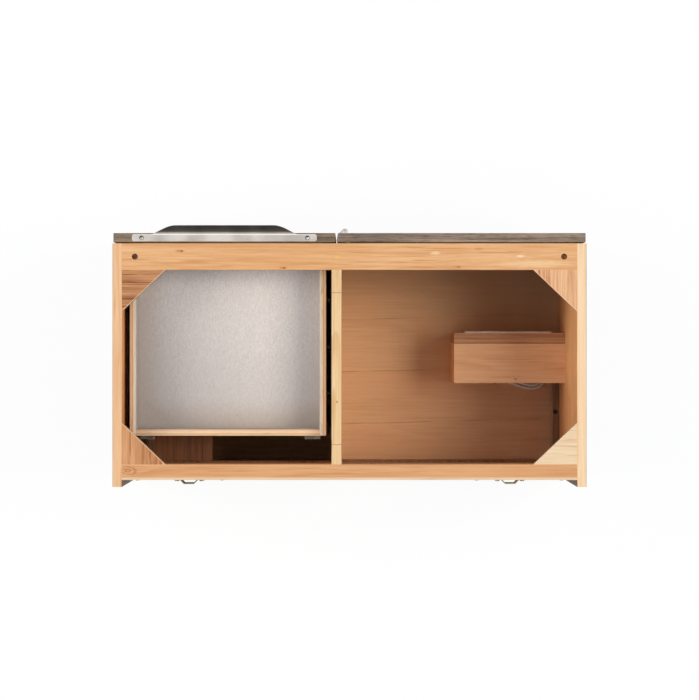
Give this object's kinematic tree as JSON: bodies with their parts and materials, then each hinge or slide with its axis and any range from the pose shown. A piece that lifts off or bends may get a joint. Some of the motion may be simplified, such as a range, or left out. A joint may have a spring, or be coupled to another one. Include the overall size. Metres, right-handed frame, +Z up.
{
  "type": "wall-mounted vanity",
  "caption": "Wall-hung wooden vanity cabinet without its top: a door bay with an outlet enclosure beside drawers on undermount slides, with steel edge pulls and corner blocks.",
  "frame": {"origin": "on the wall plane, midway between the two wall hangers at their mid height", "axes": "+Z up, +X to the right of someone facing the front, the front faces -Y, the wall is the plane Y = 0"},
  "size_m": [0.9144, 0.506, 0.558],
  "materials": {
    "carcass_wood": "clear satin lacquer on light hardwood",
    "dark_wood": "clear satin lacquer on reddish wood",
    "plywood": "plywood with bare edges",
    "grey_oak": "grey-brown textured wood grain",
    "linen_lining": "fine grey linen weave",
    "satin_steel": "satin brushed",
    "zinc_steel": "bright zinc plate",
    "hanger_steel": "dark olive-grey plate",
    "white_plastic": "smooth white moulding",
    "grey_plastic": "grey moulded box",
    "cord_jacket": "soft white cord jacket",
    "brass_pins": "plain brass",
    "tie_strap": "black hook-and-loop strap",
    "bumper_rubber": "clear grey rubber"
  },
  "bodies": {
    "carcass": {"back_panel": "plywood", "back_rail": "carcass_wood", "bottom_panel": "carcass_wood", "cord_hank": "cord_jacket", "cord_lead": "cord_jacket", "cord_plug": "white_plastic", "cord_plug_pins": "brass_pins", "cord_tie": "tie_strap", "corner_block_back_left": "carcass_wood", "corner_block_back_right": "carcass_wood", "corner_block_front_left": "carcass_wood", "corner_block_front_right": "carcass_wood", "divider_rails": "dark_wood", "divider_stretcher": "dark_wood", "floor_cleats": "carcass_wood", "front_rail": "carcass_wood", "hinge_arms": "zinc_steel", "hinge_plates": "zinc_steel", "lower_slide_rails": "zinc_steel", "outlet_box_end": "carcass_wood", "outlet_box_front": "dark_wood", "outlet_box_top": "carcass_wood", "outlet_faceplate": "white_plastic", "outlet_housing": "grey_plastic", "outlet_sockets": "white_plastic", "partition_back_stile": "carcass_wood", "partition_front_stile": "carcass_wood", "partition_panel": "carcass_wood", "partition_rails": "carcass_wood", "rear_screws": "zinc_steel", "side_panel_left": "carcass_wood", "side_panel_right": "carcass_wood", "strain_relief": "white_plastic", "upper_slide_rails": "zinc_steel", "wall_hangers": "hanger_steel"},
    "upper_drawer": {"upper_drawer_front": "grey_oak", "upper_drawer_sides": "plywood", "upper_drawer_ends": "plywood", "upper_drawer_bottom": "plywood", "upper_drawer_liner": "linen_lining", "upper_drawer_pull": "satin_steel", "upper_pull_screws": "satin_steel", "upper_slide_carriages": "zinc_steel"},
    "upper_runners": {"upper_slide_runners": "zinc_steel"},
    "lower_drawer": {"lower_drawer_front": "grey_oak", "lower_drawer_sides": "plywood", "lower_drawer_ends": "plywood", "lower_drawer_bottom": "plywood", "lower_drawer_liner": "linen_lining", "lower_drawer_pull": "satin_steel", "lower_pull_screws": "satin_steel", "lower_slide_carriages": "zinc_steel"},
    "lower_runners": {"lower_slide_runners": "zinc_steel"},
    "door": {"door": "grey_oak", "door_pull": "satin_steel", "door_pull_screws": "satin_steel", "hinge_cups": "zinc_steel", "hinge_pins": "zinc_steel", "door_bumpers": "bumper_rubber"}
  },
  "joints": [
    {"name": "upper_drawer_slide", "type": "slide", "parent": "carcass", "child": "upper_drawer", "axis": [0, -1, 0], "range_m": [0, 0.35]},
    {"name": "upper_runner_slide", "type": "slide", "parent": "carcass", "child": "upper_runners", "axis": [0, -1, 0], "range_m": [0, 0.175]},
    {"name": "lower_drawer_slide", "type": "slide", "parent": "carcass", "child": "lower_drawer", "axis": [0, -1, 0], "range_m": [0, 0.35]},
    {"name": "lower_runner_slide", "type": "slide", "parent": "carcass", "child": "lower_runners", "axis": [0, -1, 0], "range_m": [0, 0.175]},
    {"name": "door_hinge", "type": "hinge", "parent": "carcass", "child": "door", "pos_m": [-0.4489, -0.4823, -0.2185], "axis": [0, 0, -1], "range_deg": [0, 100]}
  ],
  "couplings": [
    {"joint": "upper_runner_slide", "follows": "upper_drawer_slide", "ratio": 0.5},
    {"joint": "lower_runner_slide", "follows": "lower_drawer_slide", "ratio": 0.5}
  ]
}
